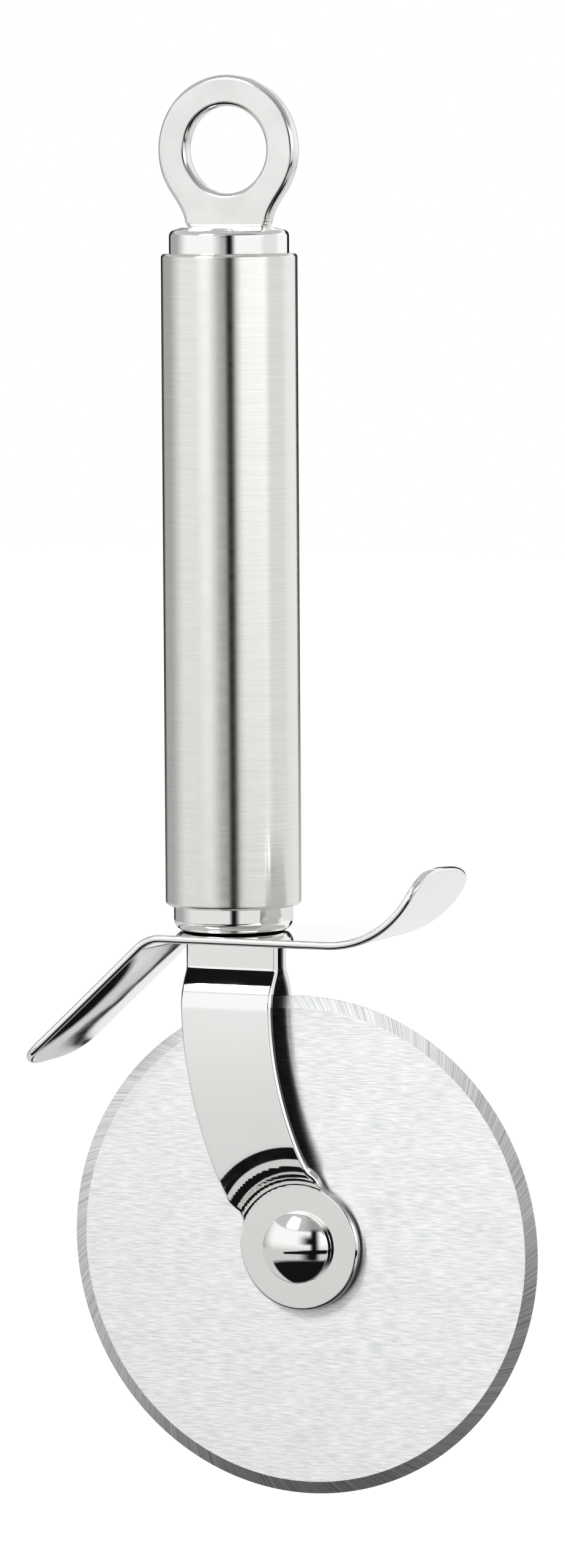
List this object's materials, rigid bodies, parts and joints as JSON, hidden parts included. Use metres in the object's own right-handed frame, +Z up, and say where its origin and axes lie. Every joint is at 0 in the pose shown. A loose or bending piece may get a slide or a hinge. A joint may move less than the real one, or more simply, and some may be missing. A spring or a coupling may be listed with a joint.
{
  "type": "pizza wheel",
  "caption": "Hand-held pizza wheel: round tube handle with a hanging ring, a bent finger guard and a two-armed fork that carries a free-spinning bevelled cutting disc.",
  "frame": {"origin": "centre of the hole in the hanging ring, on the handle's axis", "axes": "+Z up the handle, +Y along the wheel's axle to the rear, +X in the plane of the wheel towards the side of the raised guard wing"},
  "size_m": [0.079, 0.0212, 0.2086],
  "materials": {
    "polished_steel": "mirror-polished stainless steel",
    "satin_steel": "satin stainless steel, brushed round the tube",
    "wheel_steel": "fine straight-brushed stainless steel with a ground bevel",
    "plain_steel": "plain turned steel",
    "washer_nylon": "moulded natural nylon"
  },
  "bodies": {
    "frame": {"hanging_ring": "polished_steel", "ring_tang_pin": "plain_steel", "top_end_cap": "polished_steel", "handle_tube": "satin_steel", "bottom_end_cap": "polished_steel", "fork_pin": "plain_steel", "finger_guard": "polished_steel", "front_arm": "polished_steel", "rear_arm": "polished_steel", "wheel_bush": "plain_steel", "front_washer": "washer_nylon", "rear_washer": "washer_nylon", "axle_rivet": "polished_steel", "rivet_cap": "polished_steel"},
    "wheel": {"cutting_wheel": "wheel_steel"}
  },
  "joints": [
    {"name": "wheel_spin", "type": "hinge", "parent": "frame", "child": "wheel", "pos_m": [0.011, 0, -0.1607], "axis": [0, 1, 0], "continuous": true}
  ]
}
